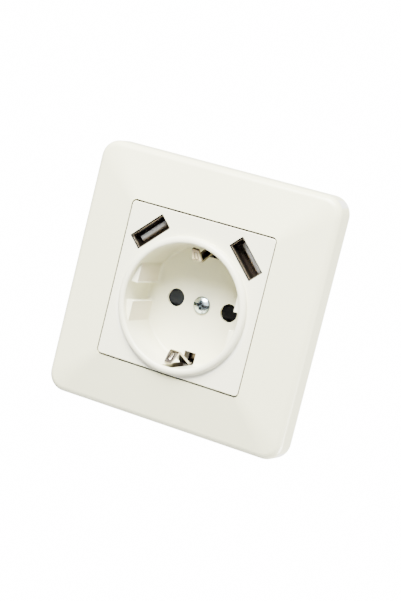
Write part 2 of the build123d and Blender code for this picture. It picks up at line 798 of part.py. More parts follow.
    # Ears that carry the claws
    for side in sides.values():
        for end in (-1, 1):
            ear_middle = end * (claw_width / 2 + claw_ear_gap + claw_ear_thickness / 2)
            with BuildSketch(across(ear_middle)):
                with Locations((side * claw_pivot, -claw_pivot_depth)):
                    Circle(claw_ear_radius)
                with Locations((side * (claw_pivot + block_width / 2 - base_wall) / 2, -claw_pivot_depth)):
                    Rectangle(claw_pivot - block_width / 2 + base_wall, 2 * claw_ear_radius)
                with Locations((side * claw_pivot, -claw_pivot_depth)):
                    Circle(claw_trunnion_radius + claw_running_play, mode=Mode.SUBTRACT)
            extrude(amount=claw_ear_thickness / 2, both=True)
save(socket_base, "socket_base")

# Rear cover over the charger, with a lip inside the block's wall
with BuildPart() as rear_cover:
    with BuildSketch(level(base_back)):
        block_outline(bottom=-cover_bottom)
    extrude(amount=-cover_thickness)
    chamfer(at_height(rear_cover, base_back - cover_thickness), length=cover_edge_bevel)
    with BuildSketch(level(base_back)):
        block_outline(cover_lip_inset, cover_lip_inset - cover_bottom)
        offset(amount=-cover_lip, mode=Mode.SUBTRACT)
    extrude(amount=cover_lip_height)
    with BuildSketch(level(base_back - cover_thickness)):
        with Locations(*cover_screw_spots):
            Circle(cover_screw_head / 2 + cover_screw_play)
    extrude(amount=cover_screw_head_height, mode=Mode.SUBTRACT)
    with BuildSketch(level(base_back - cover_thickness)):
        with Locations(*cover_screw_spots):
            Circle(cover_screw_diameter / 2 + cover_screw_play)
    extrude(amount=cover_thickness, mode=Mode.SUBTRACT)
save(rear_cover, "rear_cover")

cover_screw_seat = base_back - cover_thickness + cover_screw_head_height
with BuildPart() as cover_screws:
    slotted_heads(cover_screw_spots, cover_screw_seat, cover_screw_head, cover_screw_head_height, -1)
    shanks(cover_screw_spots, cover_screw_seat, cover_screw_diameter, cover_screw_length)
save(cover_screws, "cover_screws")

# Charging ports: folded shell, moulded tongue and four contact strips each
for name, side in sides.items():
    with BuildPart() as usb_shell:
        with BuildSketch(port_level(side, shell_back)):
            RectangleRounded(shell_length, shell_height, port_corner_round + shell_wall)
            RectangleRounded(port_length, port_height, port_corner_round, mode=Mode.SUBTRACT)
        extrude(amount=shell_depth)
    save(usb_shell, f"usb_shell_{name}")

    with BuildPart() as usb_tongue:
        with BuildSketch(port_level(side, shell_back)):
            RectangleRounded(
                port_length - 2 * tongue_play, port_height - 2 * tongue_play, port_corner_round
            )
        extrude(amount=tongue_root)
        with BuildSketch(port_level(side, shell_back + tongue_root)):
            with Locations((0, tongue_place)):
                Rectangle(tongue_width, tongue_thickness)
        extrude(amount=tongue_front - shell_back - tongue_root)
        chamfer(at_height(usb_tongue, tongue_front), length=tongue_round)
    save(usb_tongue, f"usb_tongue_{name}")

    with BuildPart() as usb_contacts:
        with BuildSketch(port_level(side, shell_back + tongue_root)):
            with Locations((0, port_contact_place)):
                with GridLocations(port_contact_pitch, 0, 4, 1):
                    Rectangle(port_contact_width, port_contact_thickness)
        extrude(amount=tongue_front - port_contact_setback - shell_back - tongue_root)
    save(usb_contacts, f"usb_contacts_{name}")

# Charger board: a crescent round the well that carries both ports
with BuildPart() as charger_board:
    with BuildSketch(level(board_back)):
        base_outline(base_wall + board_play)
        above(board_bottom, 2 * base_radius, Mode.INTERSECT)
        with Locations((0, -well_drop)):
            Circle(board_hollow_radius, mode=Mode.SUBTRACT)
        with Locations(*upper_boss_spots):
            Circle(boss_radius + board_play, mode=Mode.SUBTRACT)
    extrude(amount=board_thickness)
save(charger_board, "charger_board")

with BuildPart() as transformer_core:
    with BuildSketch(across(transformer_rise)):
        with Locations((0, board_back - core_height / 2)):
            Rectangle(core_width, core_height)
            with GridLocations(core_leg + window_width, 0, 2, 1):
                Rectangle(window_width, window_height, mode=Mode.SUBTRACT)
    extrude(amount=core_thickness / 2, both=True)
save(transformer_core, "transformer_core")

with BuildPart() as transformer_winding:
    with BuildSketch(level(board_back - core_height / 2)):
        with Locations((0, transformer_rise)):
            Rectangle(core_leg + 2 * (window_width - winding_play), winding_depth)
            Rectangle(core_leg + 2 * winding_play, core_thickness + 2 * winding_play, mode=Mode.SUBTRACT)
    extrude(amount=window_height / 2 - winding_play, both=True)
save(transformer_winding, "transformer_winding")

for name, side in {"input_capacitor": -1, "output_capacitor": 1}.items():
    with BuildPart() as capacitor:
        with BuildSketch(level(board_back)):
            with Locations((side * capacitor_offset, capacitor_rise)):
                Circle(capacitor_diameter / 2)
        extrude(amount=-capacitor_length)
        chamfer(at_height(capacitor, board_back - capacitor_length), length=capacitor_bevel)
    save(capacitor, name)

# Spreading claws: forked levers that the claw screws push outwards
with BuildPart() as claw_right:
    with BuildSketch(across(0)):
        with BuildLine():
            FilletPolyline(
                (claw_toe_end, -claw_pivot_depth),
                (claw_pivot, -claw_pivot_depth),
                (claw_arm, claw_knee - claw_pivot_depth),
                (claw_arm, -claw_tip_depth - claw_tooth_rise),
                (claw_arm + claw_tooth, -claw_tip_depth),
                radius=claw_bend,
            )
        trace(line_width=claw_sheet)
    extrude(amount=claw_width / 2, both=True)
    with BuildSketch(across(0)):
        with Locations((claw_pivot, claw_screw_end)):
            Rectangle(2 * (claw_toe_end - claw_pivot), claw_pivot_depth, align=(Align.CENTER, Align.MIN))
    extrude(amount=claw_fork / 2, both=True, mode=Mode.SUBTRACT)
    with BuildSketch(across(0)):
        with Locations((claw_pivot, -claw_pivot_depth)):
            Circle(claw_trunnion_radius)
    extrude(amount=claw_width / 2 + claw_ear_gap + claw_ear_thickness, both=True)
save(claw_right, "claw_right")

with BuildPart() as claw_left:
    mirror(claw_right.part, about=Plane.YZ)
save(claw_left, "claw_left")

with BuildPart() as claw_screws:
    slotted_heads(claw_screw_spots, ring_thickness, claw_screw_head, claw_screw_head_height, 1)
    shanks(claw_screw_spots, ring_thickness, claw_screw_diameter, claw_screw_end - ring_thickness)
save(claw_screws, "claw_screws")
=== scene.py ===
import bmesh
import bpy
import json
import numpy as np
from math import radians
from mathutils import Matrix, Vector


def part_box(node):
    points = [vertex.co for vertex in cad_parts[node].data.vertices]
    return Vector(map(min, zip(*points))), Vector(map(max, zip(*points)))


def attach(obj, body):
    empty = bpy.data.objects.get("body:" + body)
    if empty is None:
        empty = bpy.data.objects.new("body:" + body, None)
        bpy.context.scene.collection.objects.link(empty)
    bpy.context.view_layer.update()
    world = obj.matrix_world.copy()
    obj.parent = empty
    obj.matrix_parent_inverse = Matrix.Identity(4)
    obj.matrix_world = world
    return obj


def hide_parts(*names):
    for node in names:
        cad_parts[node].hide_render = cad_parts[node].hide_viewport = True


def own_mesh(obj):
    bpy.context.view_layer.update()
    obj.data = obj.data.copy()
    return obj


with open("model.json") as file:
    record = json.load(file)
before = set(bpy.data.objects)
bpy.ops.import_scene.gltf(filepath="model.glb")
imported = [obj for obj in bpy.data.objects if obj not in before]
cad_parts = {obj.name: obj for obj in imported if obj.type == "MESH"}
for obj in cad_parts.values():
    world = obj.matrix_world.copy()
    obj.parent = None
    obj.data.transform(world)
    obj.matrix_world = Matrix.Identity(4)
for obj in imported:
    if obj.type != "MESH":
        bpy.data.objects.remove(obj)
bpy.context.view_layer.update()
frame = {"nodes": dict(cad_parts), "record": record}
nodes = frame["nodes"]
mm = 0.001
print("frame loaded:", len(nodes), "nodes")


# Camera, fitted to the photograph: place in metres, turn in degrees
photoCamera = {
    "lens": 92.36,
    "sensor": 36.0,
    "nearClip": 0.01,
    "place": (0.18745, -0.44868, 0.05864),
    "turn": (82.784, -13.859, 24.316),
}


def setCamera(spec):
    data = bpy.data.cameras.new("photoCamera")
    data.lens = spec["lens"]
    data.sensor_width = spec["sensor"]
    data.sensor_fit = "AUTO"
    data.clip_start = spec["nearClip"]
    camera = bpy.data.objects.new("photoCamera", data)
    camera.location = spec["place"]
    camera.rotation_euler = [radians(angle) for angle in spec["turn"]]
    bpy.context.scene.collection.objects.link(camera)
    bpy.context.scene.camera = camera


setCamera(photoCamera)
print("camera set")


# Studio: a soft room that shows as plain white, a pale wall behind, three broad lamps, a pale floor below
studio = {
    "low": 0.13,
    "high": 0.24,
    "white": 16.0,
    "wall": 2.0,
    "wallDirection": (-0.383, 0.916, -0.12),
    "wallEdge": (0.62, 0.86),
    "floorDrop": -1.1,
    "floorRadius": 1.2,
    "floorSides": 96,
    "floorTone": (0.9, 0.9, 0.9, 1.0),
    "floorRough": 0.9,
    "aim": (0, 0, 0),
    "lamps": [
        {"name": "topLamp", "place": (0.0, -0.62, 0.8), "size": 0.78, "power": 100},
        {"name": "sideLamp", "place": (0.66, 0.3, -0.4), "size": 0.5, "power": 32},
        {"name": "frontLamp", "place": (0.45, -0.95, 0.15), "size": 0.7, "power": 3},
    ],
}


def aimAt(lamp, target):
    # a lamp shines along its own -Z
    direction = np.subtract(target, lamp.location)
    lamp.rotation_euler = Vector(direction).to_track_quat("-Z", "Y").to_euler()


def buildRoom(spec):
    # light from direction d: low..high by d.z, plus the wall where d lies near the wall's direction;
    # what the camera sees past the object is white all round
    world = bpy.data.worlds.new("studioRoom")
    world.use_nodes = True
    tree = world.node_tree
    link = tree.links.new
    background = tree.nodes["Background"]
    background.inputs["Color"].default_value = (1, 1, 1, 1)
    place = tree.nodes.new("ShaderNodeTexCoord")
    parts = tree.nodes.new("ShaderNodeSeparateXYZ")
    rise = tree.nodes.new("ShaderNodeMapRange")
    rise.inputs["From Min"].default_value = -1.0
    rise.inputs["To Min"].default_value = spec["low"]
    rise.inputs["To Max"].default_value = spec["high"]
    facing = tree.nodes.new("ShaderNodeVectorMath")
    facing.operation = "DOT_PRODUCT"
    facing.inputs[1].default_value = spec["wallDirection"]
    wall = tree.nodes.new("ShaderNodeMapRange")
    wall.interpolation_type = "SMOOTHSTEP"
    wall.inputs["From Min"].default_value = spec["wallEdge"][0]
    wall.inputs["From Max"].default_value = spec["wallEdge"][1]
    wall.inputs["To Max"].default_value = spec["wall"]
    total = tree.nodes.new("ShaderNodeMath")
    total.operation = "ADD"
    rays = tree.nodes.new("ShaderNodeLightPath")
    shown = tree.nodes.new("ShaderNodeMix")
    shown.inputs["B"].default_value = spec["white"]
    link(place.outputs["Generated"], parts.inputs["Vector"])
    link(place.outputs["Generated"], facing.inputs[0])
    link(parts.outputs["Z"], rise.inputs["Value"])
    link(facing.outputs["Value"], wall.inputs["Value"])
    link(rise.outputs["Result"], total.inputs[0])
    link(wall.outputs["Result"], total.inputs[1])
    link(rays.outputs["Is Camera Ray"], shown.inputs["Factor"])
    link(total.outputs["Value"], shown.inputs["A"])
    link(shown.outputs["Result"], background.inputs["Strength"])
    bpy.context.scene.world = world


def buildFloor(spec):
    # one flat disc: radius * (cos a, sin a) at the floor's drop
    angle = np.linspace(0, 2 * np.pi, spec["floorSides"], endpoint=False)
    rim = np.stack([np.cos(angle), np.sin(angle), np.zeros_like(angle)], axis=1) * spec["floorRadius"]
    rim[:, 2] = spec["floorDrop"]
    mesh = bpy.data.meshes.new("studioFloor")
    mesh.from_pydata(rim.tolist(), [], [list(range(spec["floorSides"]))])
    floor = bpy.data.objects.new("studioFloor", mesh)
    bpy.context.scene.collection.objects.link(floor)
    material = bpy.data.materials.new("studioFloor")
    material.use_nodes = True
    shader = material.node_tree.nodes["Principled BSDF"]
    shader.inputs["Base Color"].default_value = spec["floorTone"]
    shader.inputs["Roughness"].default_value = spec["floorRough"]
    mesh.materials.append(material)


def buildStudio(spec):
    buildRoom(spec)
    for item in spec["lamps"]:
        data = bpy.data.lights.new(item["name"], "AREA")
        data.shape = "DISK"
        data.size = item["size"]
        data.energy = item["power"]
        lamp = bpy.data.objects.new(item["name"], data)
        lamp.location = item["place"]
        bpy.context.scene.collection.objects.link(lamp)
        aimAt(lamp, spec["aim"])
    buildFloor(spec)


buildStudio(studio)
print("studio lit")


# Places that shades and pieces share, as boxes give them or as the part has them
screwLow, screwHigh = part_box("centre_screw")
wellRise = (screwLow[2] + screwHigh[2]) / 2
portLow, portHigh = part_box("usb_shell_right")
portOut = (portLow[0] + portHigh[0]) / 2
portRise = (portLow[2] + portHigh[2]) / 2
portSlant = 0.5 ** 0.5  # cosine and sine of the ports' 45 degrees
clipMouth = np.array([18.4, 11.6]) * mm  # radius from the well's middle, height before the wall
clipApex = np.array([14.7, 7.9]) * mm
clipHeel = np.array([18.95, -1.9]) * mm
clipMiddle = (clipMouth + clipApex) / 2  # middle of the front leg, where the bead is pressed
guideOut = 17.0 * mm  # inner faces of the guide ribs
guideRise = 3.0 * mm  # half the slot between two ribs
edge = 0.01 * mm  # width of a shade's sharp edge
skin = 0.03 * mm  # depth of a shade that lies on one face

# Finishes: two near tones mixed by a soft cloud, a roughness that wanders, and a fine relief.
# Shades paint light and shade into a piece's colour by place: painted shade in the gap round the plate,
# the ports and their shells, the slots, the screw's recess, the well's upper wall, the ribs' faces, the
# clips, the tongues and the shutter's right blade; painted light in the frame's hollow, along its lower
# edge, at the rim's foot and deep in the shells
finishes = {
    "ivoryPlastic": {
        "tones": ((0.80, 0.785, 0.58), (0.83, 0.815, 0.61)), "cloud": 35.0,
        "rough": (0.26, 0.34), "relief": 900.0, "lift": 0.012, "metal": 0.0,
        "shades": [
            # painted shade in the gap round the plate, on the plate's side walls
            {
                "mask": "squareRing", "tone": (0.10, 0.08, 0.055),
                "ring": (24.9 * mm, 25.15 * mm), "depth": (-11.19 * mm, -11.08 * mm),
            },
            # painted shade on the walls of the port openings
            {
                "mask": "portPocket", "tone": (0.03, 0.022, 0.014),
                "half": (6.6 * mm, 2.8 * mm), "depth": (-11.16 * mm, -11.05 * mm),
            },
            # painted shade on the inner faces of the guide ribs
            {
                "mask": "guideFace", "tone": (0.71, 0.66, 0.51), "out": (guideOut - skin, guideOut + skin),
                "up": (guideRise, 9.5 * mm), "depth": (-10.85 * mm, 3.6 * mm),
            },
            # painted shade on the walls of the slots behind the clips
            {
                "mask": "clipSlot", "tone": (0.10, 0.08, 0.055),
                "halfWidth": 1.98 * mm, "radius": 15.6 * mm, "depth": (-9.0 * mm, -2.0 * mm),
            },
            # painted shade on the well's upper wall
            {
                "mask": "wellWall", "tone": (0.61, 0.585, 0.425), "round": (18.7 * mm, 19.3 * mm),
                "outer": 19.6 * mm, "rise": (2.0 * mm, 10.0 * mm), "depth": (-12.0 * mm, -4.0 * mm),
            },
            # painted light at the rim's foot on its lower side
            {
                "mask": "rimFoot", "tone": (0.98, 0.965, 0.84), "radius": 21.8 * mm, "height": 11.2 * mm,
                "reach": (1.6 * mm, 0.4 * mm), "side": (5.0 * mm, -12.0 * mm),
            },
        ],
    },
    # lighter ivory for the ribs' rounded edges: a painted highlight
    "edgeIvory": {
        "tones": ((0.90, 0.885, 0.72), (0.93, 0.915, 0.75)), "cloud": 35.0,
        "rough": (0.22, 0.3), "relief": 900.0, "lift": 0.012, "metal": 0.0,
    },
    "frameIvory": {
        "tones": ((0.79, 0.78, 0.52), (0.82, 0.81, 0.55)), "cloud": 35.0,
        "rough": (0.26, 0.34), "relief": 900.0, "lift": 0.012, "metal": 0.0,
        "shades": [
            # painted shade on the walls of the frame's opening
            {
                "mask": "squareRing", "tone": (0.12, 0.10, 0.075),
                "ring": (25.15 * mm, 25.6 * mm), "depth": (-10.82 * mm, -10.5 * mm),
            },
            # painted light in the frame's hollow, paler to offset the warm light bounced inside it
            {
                "mask": "squareRing", "tone": (0.82, 0.81, 0.73),
                "ring": (25.7 * mm, 41.0 * mm), "depth": (-6.2 * mm, -5.8 * mm),
            },
            # painted light along the frame's lower edge
            {"mask": "lowerEdge", "tone": (0.95, 0.95, 0.68), "rise": (-39.8 * mm, -41.2 * mm)},
        ],
    },
    "greyPlastic": {
        "tones": ((0.40, 0.37, 0.31), (0.46, 0.425, 0.36)), "cloud": 60.0,
        "rough": (0.48, 0.6), "relief": 1800.0, "lift": 0.08, "metal": 0.0,
    },
    "blackPlastic": {
        "tones": ((0.012, 0.0135, 0.016), (0.018, 0.020, 0.023)), "cloud": 120.0,
        "rough": (0.5, 0.62), "relief": 2400.0, "lift": 0.1, "metal": 0.0, "gloss": 0.1,
        # painted shade on the shutter's right blade
        "shades": [{"mask": "rightBlade", "tone": (0.002, 0.002, 0.002), "out": (0.0, 7.0 * mm)}],
    },
    "palePlastic": {
        "tones": ((0.74, 0.78, 0.79), (0.82, 0.86, 0.86)), "cloud": 200.0,
        "rough": (0.4, 0.5), "relief": 2400.0, "lift": 0.04, "metal": 0.0,
        # painted shade on the tongues, towards their contact side
        "shades": [{"mask": "tongueUnder", "tone": (0.13, 0.11, 0.08), "over": (-0.1 * mm, 1.5 * mm)}],
    },
    "nickelStrip": {
        "tones": ((0.38, 0.33, 0.26), (0.58, 0.52, 0.44)), "cloud": 420.0,
        "rough": (0.14, 0.22), "relief": 1600.0, "lift": 0.03, "metal": 1.0,
        "shades": [
            # painted shade on the upper clip
            {"mask": "upperClip", "tone": (0.10, 0.08, 0.065), "rise": (14.6 * mm, 17.8 * mm)},
            # painted shade in a ring round each clip's bead
            {
                "mask": "beadGroove", "tone": (0.10, 0.08, 0.06),
                "straight": 1.0 * mm, "ring": (0.5 * mm, 0.82 * mm), "face": 0.3 * mm,
            },
            # painted shade and painted dark reflection on the front side of the clips' back legs
            {"mask": "clipBack", "tone": (0.10, 0.08, 0.06), "side": (0.3 * mm, 0.6 * mm)},
            # painted shade on the clips' deep parts
            {"mask": "deepPart", "tone": (0.07, 0.055, 0.04), "depth": (0.6 * mm, 2.2 * mm)},
        ],
    },
    "zincSteel": {
        "tones": ((0.46, 0.52, 0.58), (0.66, 0.71, 0.76)), "cloud": 520.0,
        "rough": (0.22, 0.4), "relief": 2200.0, "lift": 0.12, "metal": 1.0,
    },
    "screwZinc": {
        "tones": ((0.50, 0.61, 0.65), (0.80, 0.90, 0.93)), "cloud": 1100.0,
        "rough": (0.14, 0.3), "relief": 2300.0, "lift": 0.25, "metal": 1.0,
        "shades": [
            # painted shade round the edge of the screw's head
            {"mask": "screwRim", "tone": (0.12, 0.16, 0.18), "radius": (2.35 * mm, 2.7 * mm)},
            # painted shade in the screw's slot and cross
            {
                "mask": "screwRecess", "tone": (0.05, 0.07, 0.08),
                "slot": 0.46 * mm, "cross": 1.62 * mm, "patches": (0.56, 0.48),
            },
        ],
    },
    "ringSteel": {
        "tones": ((0.40, 0.41, 0.42), (0.52, 0.53, 0.54)), "cloud": 260.0,
        "rough": (0.3, 0.46), "relief": 1500.0, "lift": 0.12, "metal": 1.0,
    },
    "shellSteel": {
        "tones": ((0.50, 0.43, 0.34), (0.66, 0.58, 0.47)), "cloud": 380.0,
        "rough": (0.22, 0.34), "relief": 1600.0, "lift": 0.08, "metal": 1.0,
        "shades": [
            # painted shade inside the shells and on their front edge, with the metal taken away there
            {
                "mask": "shellInside", "tone": (0.006, 0.0045, 0.003), "half": (6.15 * mm, 2.35 * mm),
                "depth": (-10.8 * mm, -10.75 * mm), "front": (-10.6 * mm, -10.65 * mm), "dull": True,
            },
            # painted light deep in the shells: a paler tone further in
            {
                "mask": "shellInside", "tone": (0.12, 0.09, 0.065), "half": (6.15 * mm, 2.35 * mm),
                "depth": (-7.0 * mm, -2.0 * mm),
            },
        ],
    },
    "lipSteel": {
        "tones": ((0.40, 0.33, 0.24), (0.54, 0.46, 0.35)), "cloud": 380.0,
        "rough": (0.3, 0.42), "relief": 1600.0, "lift": 0.05, "metal": 1.0,
    },
    "springSteel": {
        "tones": ((0.30, 0.30, 0.31), (0.40, 0.40, 0.41)), "cloud": 700.0,
        "rough": (0.24, 0.36), "relief": 2600.0, "lift": 0.08, "metal": 1.0,
    },
    "brassSheet": {
        "tones": ((0.56, 0.38, 0.13), (0.68, 0.48, 0.18)), "cloud": 320.0,
        "rough": (0.26, 0.4), "relief": 1500.0, "lift": 0.1, "metal": 1.0,
    },
    # gilt darkened to a dark brown-gold: painted shade of the contacts deep in the ports
    "giltStrip": {
        "tones": ((0.20, 0.13, 0.06), (0.34, 0.23, 0.12)), "cloud": 500.0,
        "rough": (0.3, 0.42), "relief": 2000.0, "lift": 0.06, "metal": 1.0,
    },
    "copperWire": {
        "tones": ((0.46, 0.16, 0.07), (0.58, 0.22, 0.10)), "cloud": 600.0,
        "rough": (0.25, 0.38), "relief": 2600.0, "lift": 0.15, "metal": 1.0,
    },
    "boardLaminate": {
        "tones": ((0.012, 0.065, 0.026), (0.022, 0.10, 0.042)), "cloud": 240.0,
        "rough": (0.3, 0.45), "relief": 1400.0, "lift": 0.1, "metal": 0.0,
    },
    "ferrite": {
        "tones": ((0.016, 0.016, 0.018), (0.035, 0.035, 0.038)), "cloud": 500.0,
        "rough": (0.6, 0.78), "relief": 2200.0, "lift": 0.2, "metal": 0.0,
    },
    "capacitorSleeve": {
        "tones": ((0.012, 0.016, 0.04), (0.02, 0.026, 0.06)), "cloud": 160.0,
        "rough": (0.28, 0.4), "relief": 1200.0, "lift": 0.04, "metal": 0.0,
    },
}


class Field:
    # a number that varies over the surface, worked out by Math nodes
    def __init__(self, tree, socket):
        self.tree = tree
        self.socket = socket

    def math(self, operation, other=None):
        node = self.tree.nodes.new("ShaderNodeMath")
        node.operation = operation
        self.tree.links.new(self.socket, node.inputs[0])
        if isinstance(other, Field):
            self.tree.links.new(other.socket, node.inputs[1])
        elif other is not None:
            node.inputs[1].default_value = other
        return Field(self.tree, node.outputs["Value"])

    def __add__(self, other):
        return self.math("ADD", other)

    def __sub__(self, other):
        return self.math("SUBTRACT", other)

    def __mul__(self, other):
        return self.math("MULTIPLY", other)

    def __abs__(self):
        return self.math("ABSOLUTE")

    def step(self, start, end):
        # 0 before start, 1 after end, straight between
        node = self.tree.nodes.new("ShaderNodeMapRange")
        node.inputs["From Min"].default_value = start
        node.inputs["From Max"].default_value = end
        self.tree.links.new(self.socket, node.inputs["Value"])
        return Field(self.tree, node.outputs["Result"])

    def inside(self, low, high):
        return self.step(low, low + edge) * self.step(high + edge, high)


def portAxes(at):
    # |x| lays the left port over the right one, and the two axes turn by 45 degrees
    out, rise = abs(at["x"]) - portOut, at["z"] - portRise
    return (out - rise) * portSlant, (out + rise) * portSlant


def wellAxes(at):
    # height above the well's axis, and distance from it
    rise = at["z"] - wellRise
    return rise, (rise * rise + at["x"] * at["x"]).math("SQRT")


def clipAxes(at, origin, target):
    # along and across a leg of the clip, in radius and height; |z| lays one clip over the other
    legRadius, legHeight = ((target - origin) / np.linalg.norm(target - origin)).tolist()
    radius = abs(at["z"] - wellRise) - float(origin[0])
    height = at["y"] * -1.0 - float(origin[1])
    along = radius * legRadius + height * legHeight
    across = height * legRadius - radius * legHeight
    return along, across


def squareRing(at, spec):
    # square ring round the middle, behind the depth, where painted shade or painted light is laid
    reach = abs(at["x"]).math("MAXIMUM", abs(at["z"]))
    return reach.inside(*spec["ring"]) * at["y"].step(*spec["depth"])


def lowerEdge(at, spec):
    # the frame's bottom side, where painted light is laid
    return at["z"].step(*spec["rise"])


def portPocket(at, spec):
    # walls of the two port openings, below the face, where painted shade is laid
    along, over = portAxes(at)
    wide, high = spec["half"]
    within = abs(along).step(wide + edge, wide) * abs(over).step(high + edge, high)
    return within * at["y"].step(*spec["depth"])


def shellInside(at, spec):
    # inner walls of the shells, and their front edge where it is given, where painted shade is laid
    within = portPocket(at, spec)
    return within.math("MAXIMUM", at["y"].step(*spec["front"])) if "front" in spec else within


def clipSlot(at, spec):
    # walls of the slots behind the clips, with painted shade that is darker the deeper they lie
    radius = abs(at["z"] - wellRise)
    width = abs(at["x"]).step(spec["halfWidth"] + edge, spec["halfWidth"])
    return width * radius.step(spec["radius"], spec["radius"] + edge) * at["y"].step(*spec["depth"])


def tongueUnder(at, spec):
    # painted shade, dark towards the side that carries the contacts
    low, high = spec["over"]
    return portAxes(at)[1].step(high, low)


def guideFace(at, spec):
    # inner faces of the four guide ribs, where painted shade is laid
    up = abs(at["z"] - wellRise)
    return abs(at["x"]).inside(*spec["out"]) * up.inside(*spec["up"]) * at["y"].inside(*spec["depth"])


def wellWall(at, spec):
    # upper wall of the well, with painted shade that is darker towards the floor and fades over the
    # floor's round
    rise, radius = wellAxes(at)
    wall = radius.step(*spec["round"]) * radius.step(spec["outer"] + edge, spec["outer"])
    return wall * rise.step(*spec["rise"]) * at["y"].step(*spec["depth"])


def rimFoot(at, spec):
    # painted light about the corner where the rim meets the face, on the lower side: distance from that
    # corner
    rise, radius = wellAxes(at)
    out = radius - spec["radius"]
    height = at["y"] * -1.0 - spec["height"]
    return (out * out + height * height).math("SQRT").step(*spec["reach"]) * rise.step(*spec["side"])


def upperClip(at, spec):
    # the clip at the top of the well, with painted shade that is darker the further out it lies
    return (at["z"] - wellRise).step(*spec["rise"])


def beadGroove(at, spec):
    # ring round the bead, where painted shade is laid: the distance from its straight middle line
    along, across = clipAxes(at, clipMiddle, clipApex)
    beyond = (abs(along) - spec["straight"]).math("MAXIMUM", 0.0)
    distance = (beyond * beyond + at["x"] * at["x"]).math("SQRT")
    outside = (across * -1.0).step(spec["face"], spec["face"] + edge)
    return distance.inside(*spec["ring"]) * outside


def clipBack(at, spec):
    # front side of the clip's back leg, where painted shade is laid
    return clipAxes(at, clipApex, clipHeel)[1].inside(*spec["side"])


def rightBlade(at, spec):
    # the half of the shutter that closes the right hole, where painted shade is laid
    return at["x"].step(*spec["out"])


def deepPart(at, spec):
    # what lies deep behind the wall plane, where painted shade is laid
    return at["y"].step(*spec["depth"])


def screwRim(at, spec):
    # outer edge of the screw's head, where painted shade is laid
    return wellAxes(at)[1].step(*spec["radius"])


def screwRecess(at, spec):
    # slot across and cross upright, with painted shade broken into patches by the grain
    up, out = abs(at["z"] - wellRise), abs(at["x"])
    slot = up.step(spec["slot"], spec["slot"] - edge)
    cross = out.step(spec["slot"], spec["slot"] - edge) * up.step(spec["cross"], spec["cross"] - edge)
    return slot.math("MAXIMUM", cross) * at["grain"].step(*spec["patches"])


masks = {
    mask.__name__: mask
    for mask in (squareRing, lowerEdge, portPocket, shellInside, guideFace, clipSlot, wellWall, rimFoot,
                 tongueUnder, upperClip, beadGroove, clipBack, rightBlade, deepPart, screwRim, screwRecess)
}


# What all finishes have in common: detail of the cloud, depth of the relief, gloss where none is given
finishBase = {"cloudDetail": 4.0, "reliefDepth": 0.1 * mm, "gloss": 0.5}


def mixTones(tree, share, first, second):
    # Mix node in its colour form, with sockets 0, 6 and 7 in and 2 out; a tone is a colour or a socket
    node = tree.nodes.new("ShaderNodeMix")
    node.data_type = "RGBA"
    tree.links.new(share, node.inputs[0])
    for socket, tone in ((node.inputs[6], first), (node.inputs[7], second)):
        if isinstance(tone, tuple):
            socket.default_value = (*tone, 1)
        else:
            tree.links.new(tone, socket)
    return node.outputs[2]


def makeFinish(name, spec):
    material = bpy.data.materials.new(name)
    material.use_nodes = True
    tree = material.node_tree
    shader = tree.nodes["Principled BSDF"]
    shader.inputs["Metallic"].default_value = spec["metal"]
    shader.inputs["Specular IOR Level"].default_value = spec.get("gloss", finishBase["gloss"])
    place = tree.nodes.new("ShaderNodeTexCoord")
    cloud = tree.nodes.new("ShaderNodeTexNoise")
    cloud.inputs["Scale"].default_value = spec["cloud"]
    cloud.inputs["Detail"].default_value = finishBase["cloudDetail"]
    rough = tree.nodes.new("ShaderNodeMapRange")
    rough.inputs["To Min"].default_value = spec["rough"][0]
    rough.inputs["To Max"].default_value = spec["rough"][1]
    grain = tree.nodes.new("ShaderNodeTexNoise")
    grain.inputs["Scale"].default_value = spec["relief"]
    bump = tree.nodes.new("ShaderNodeBump")
    bump.inputs["Strength"].default_value = spec["lift"]
    bump.inputs["Distance"].default_value = finishBase["reliefDepth"]
    axes = tree.nodes.new("ShaderNodeSeparateXYZ")
    link = tree.links.new
    link(place.outputs["Object"], axes.inputs["Vector"])
    link(place.outputs["Object"], cloud.inputs["Vector"])
    link(place.outputs["Object"], grain.inputs["Vector"])
    link(cloud.outputs["Fac"], rough.inputs["Value"])
    at = {axis.lower(): Field(tree, axes.outputs[axis]) for axis in "XYZ"}
    at["grain"] = Field(tree, grain.outputs["Fac"])
    colour = mixTones(tree, cloud.outputs["Fac"], *spec["tones"])
    # each shade paints light or shade into the colour through its mask; a dull one also takes the metal
    # away there
    for shade in spec.get("shades", []):
        mask = masks[shade["mask"]](at, shade)
        colour = mixTones(tree, mask.socket, colour, shade["tone"])
        if "dull" in shade:
            link(mask.step(1.0, 0.0).socket, shader.inputs["Metallic"])
    link(colour, shader.inputs["Base Color"])
    link(rough.outputs["Result"], shader.inputs["Roughness"])
    link(grain.outputs["Fac"], bump.inputs["Height"])
    link(bump.outputs["Normal"], shader.inputs["Normal"])
    return material


materials = {name: makeFinish(name, spec) for name, spec in finishes.items()}
ownFinish = {"cover_frame": "frameIvory", "centre_screw": "screwZinc"}


def camelWords(text):
    first, *rest = text.split("_")
    return first + "".join(word.capitalize() for word in rest)


def dressNodes():
    # each node takes the finish of its own slot in the record, unless it has one of its own
    for entry in frame["record"]["subparts"]:
        mesh = nodes[entry["node"]].data
        mesh.materials.clear()
        mesh.materials.append(materials[ownFinish.get(entry["node"], camelWords(entry["material_slot"]))])


dressNodes()
print("finishes:", len(materials))


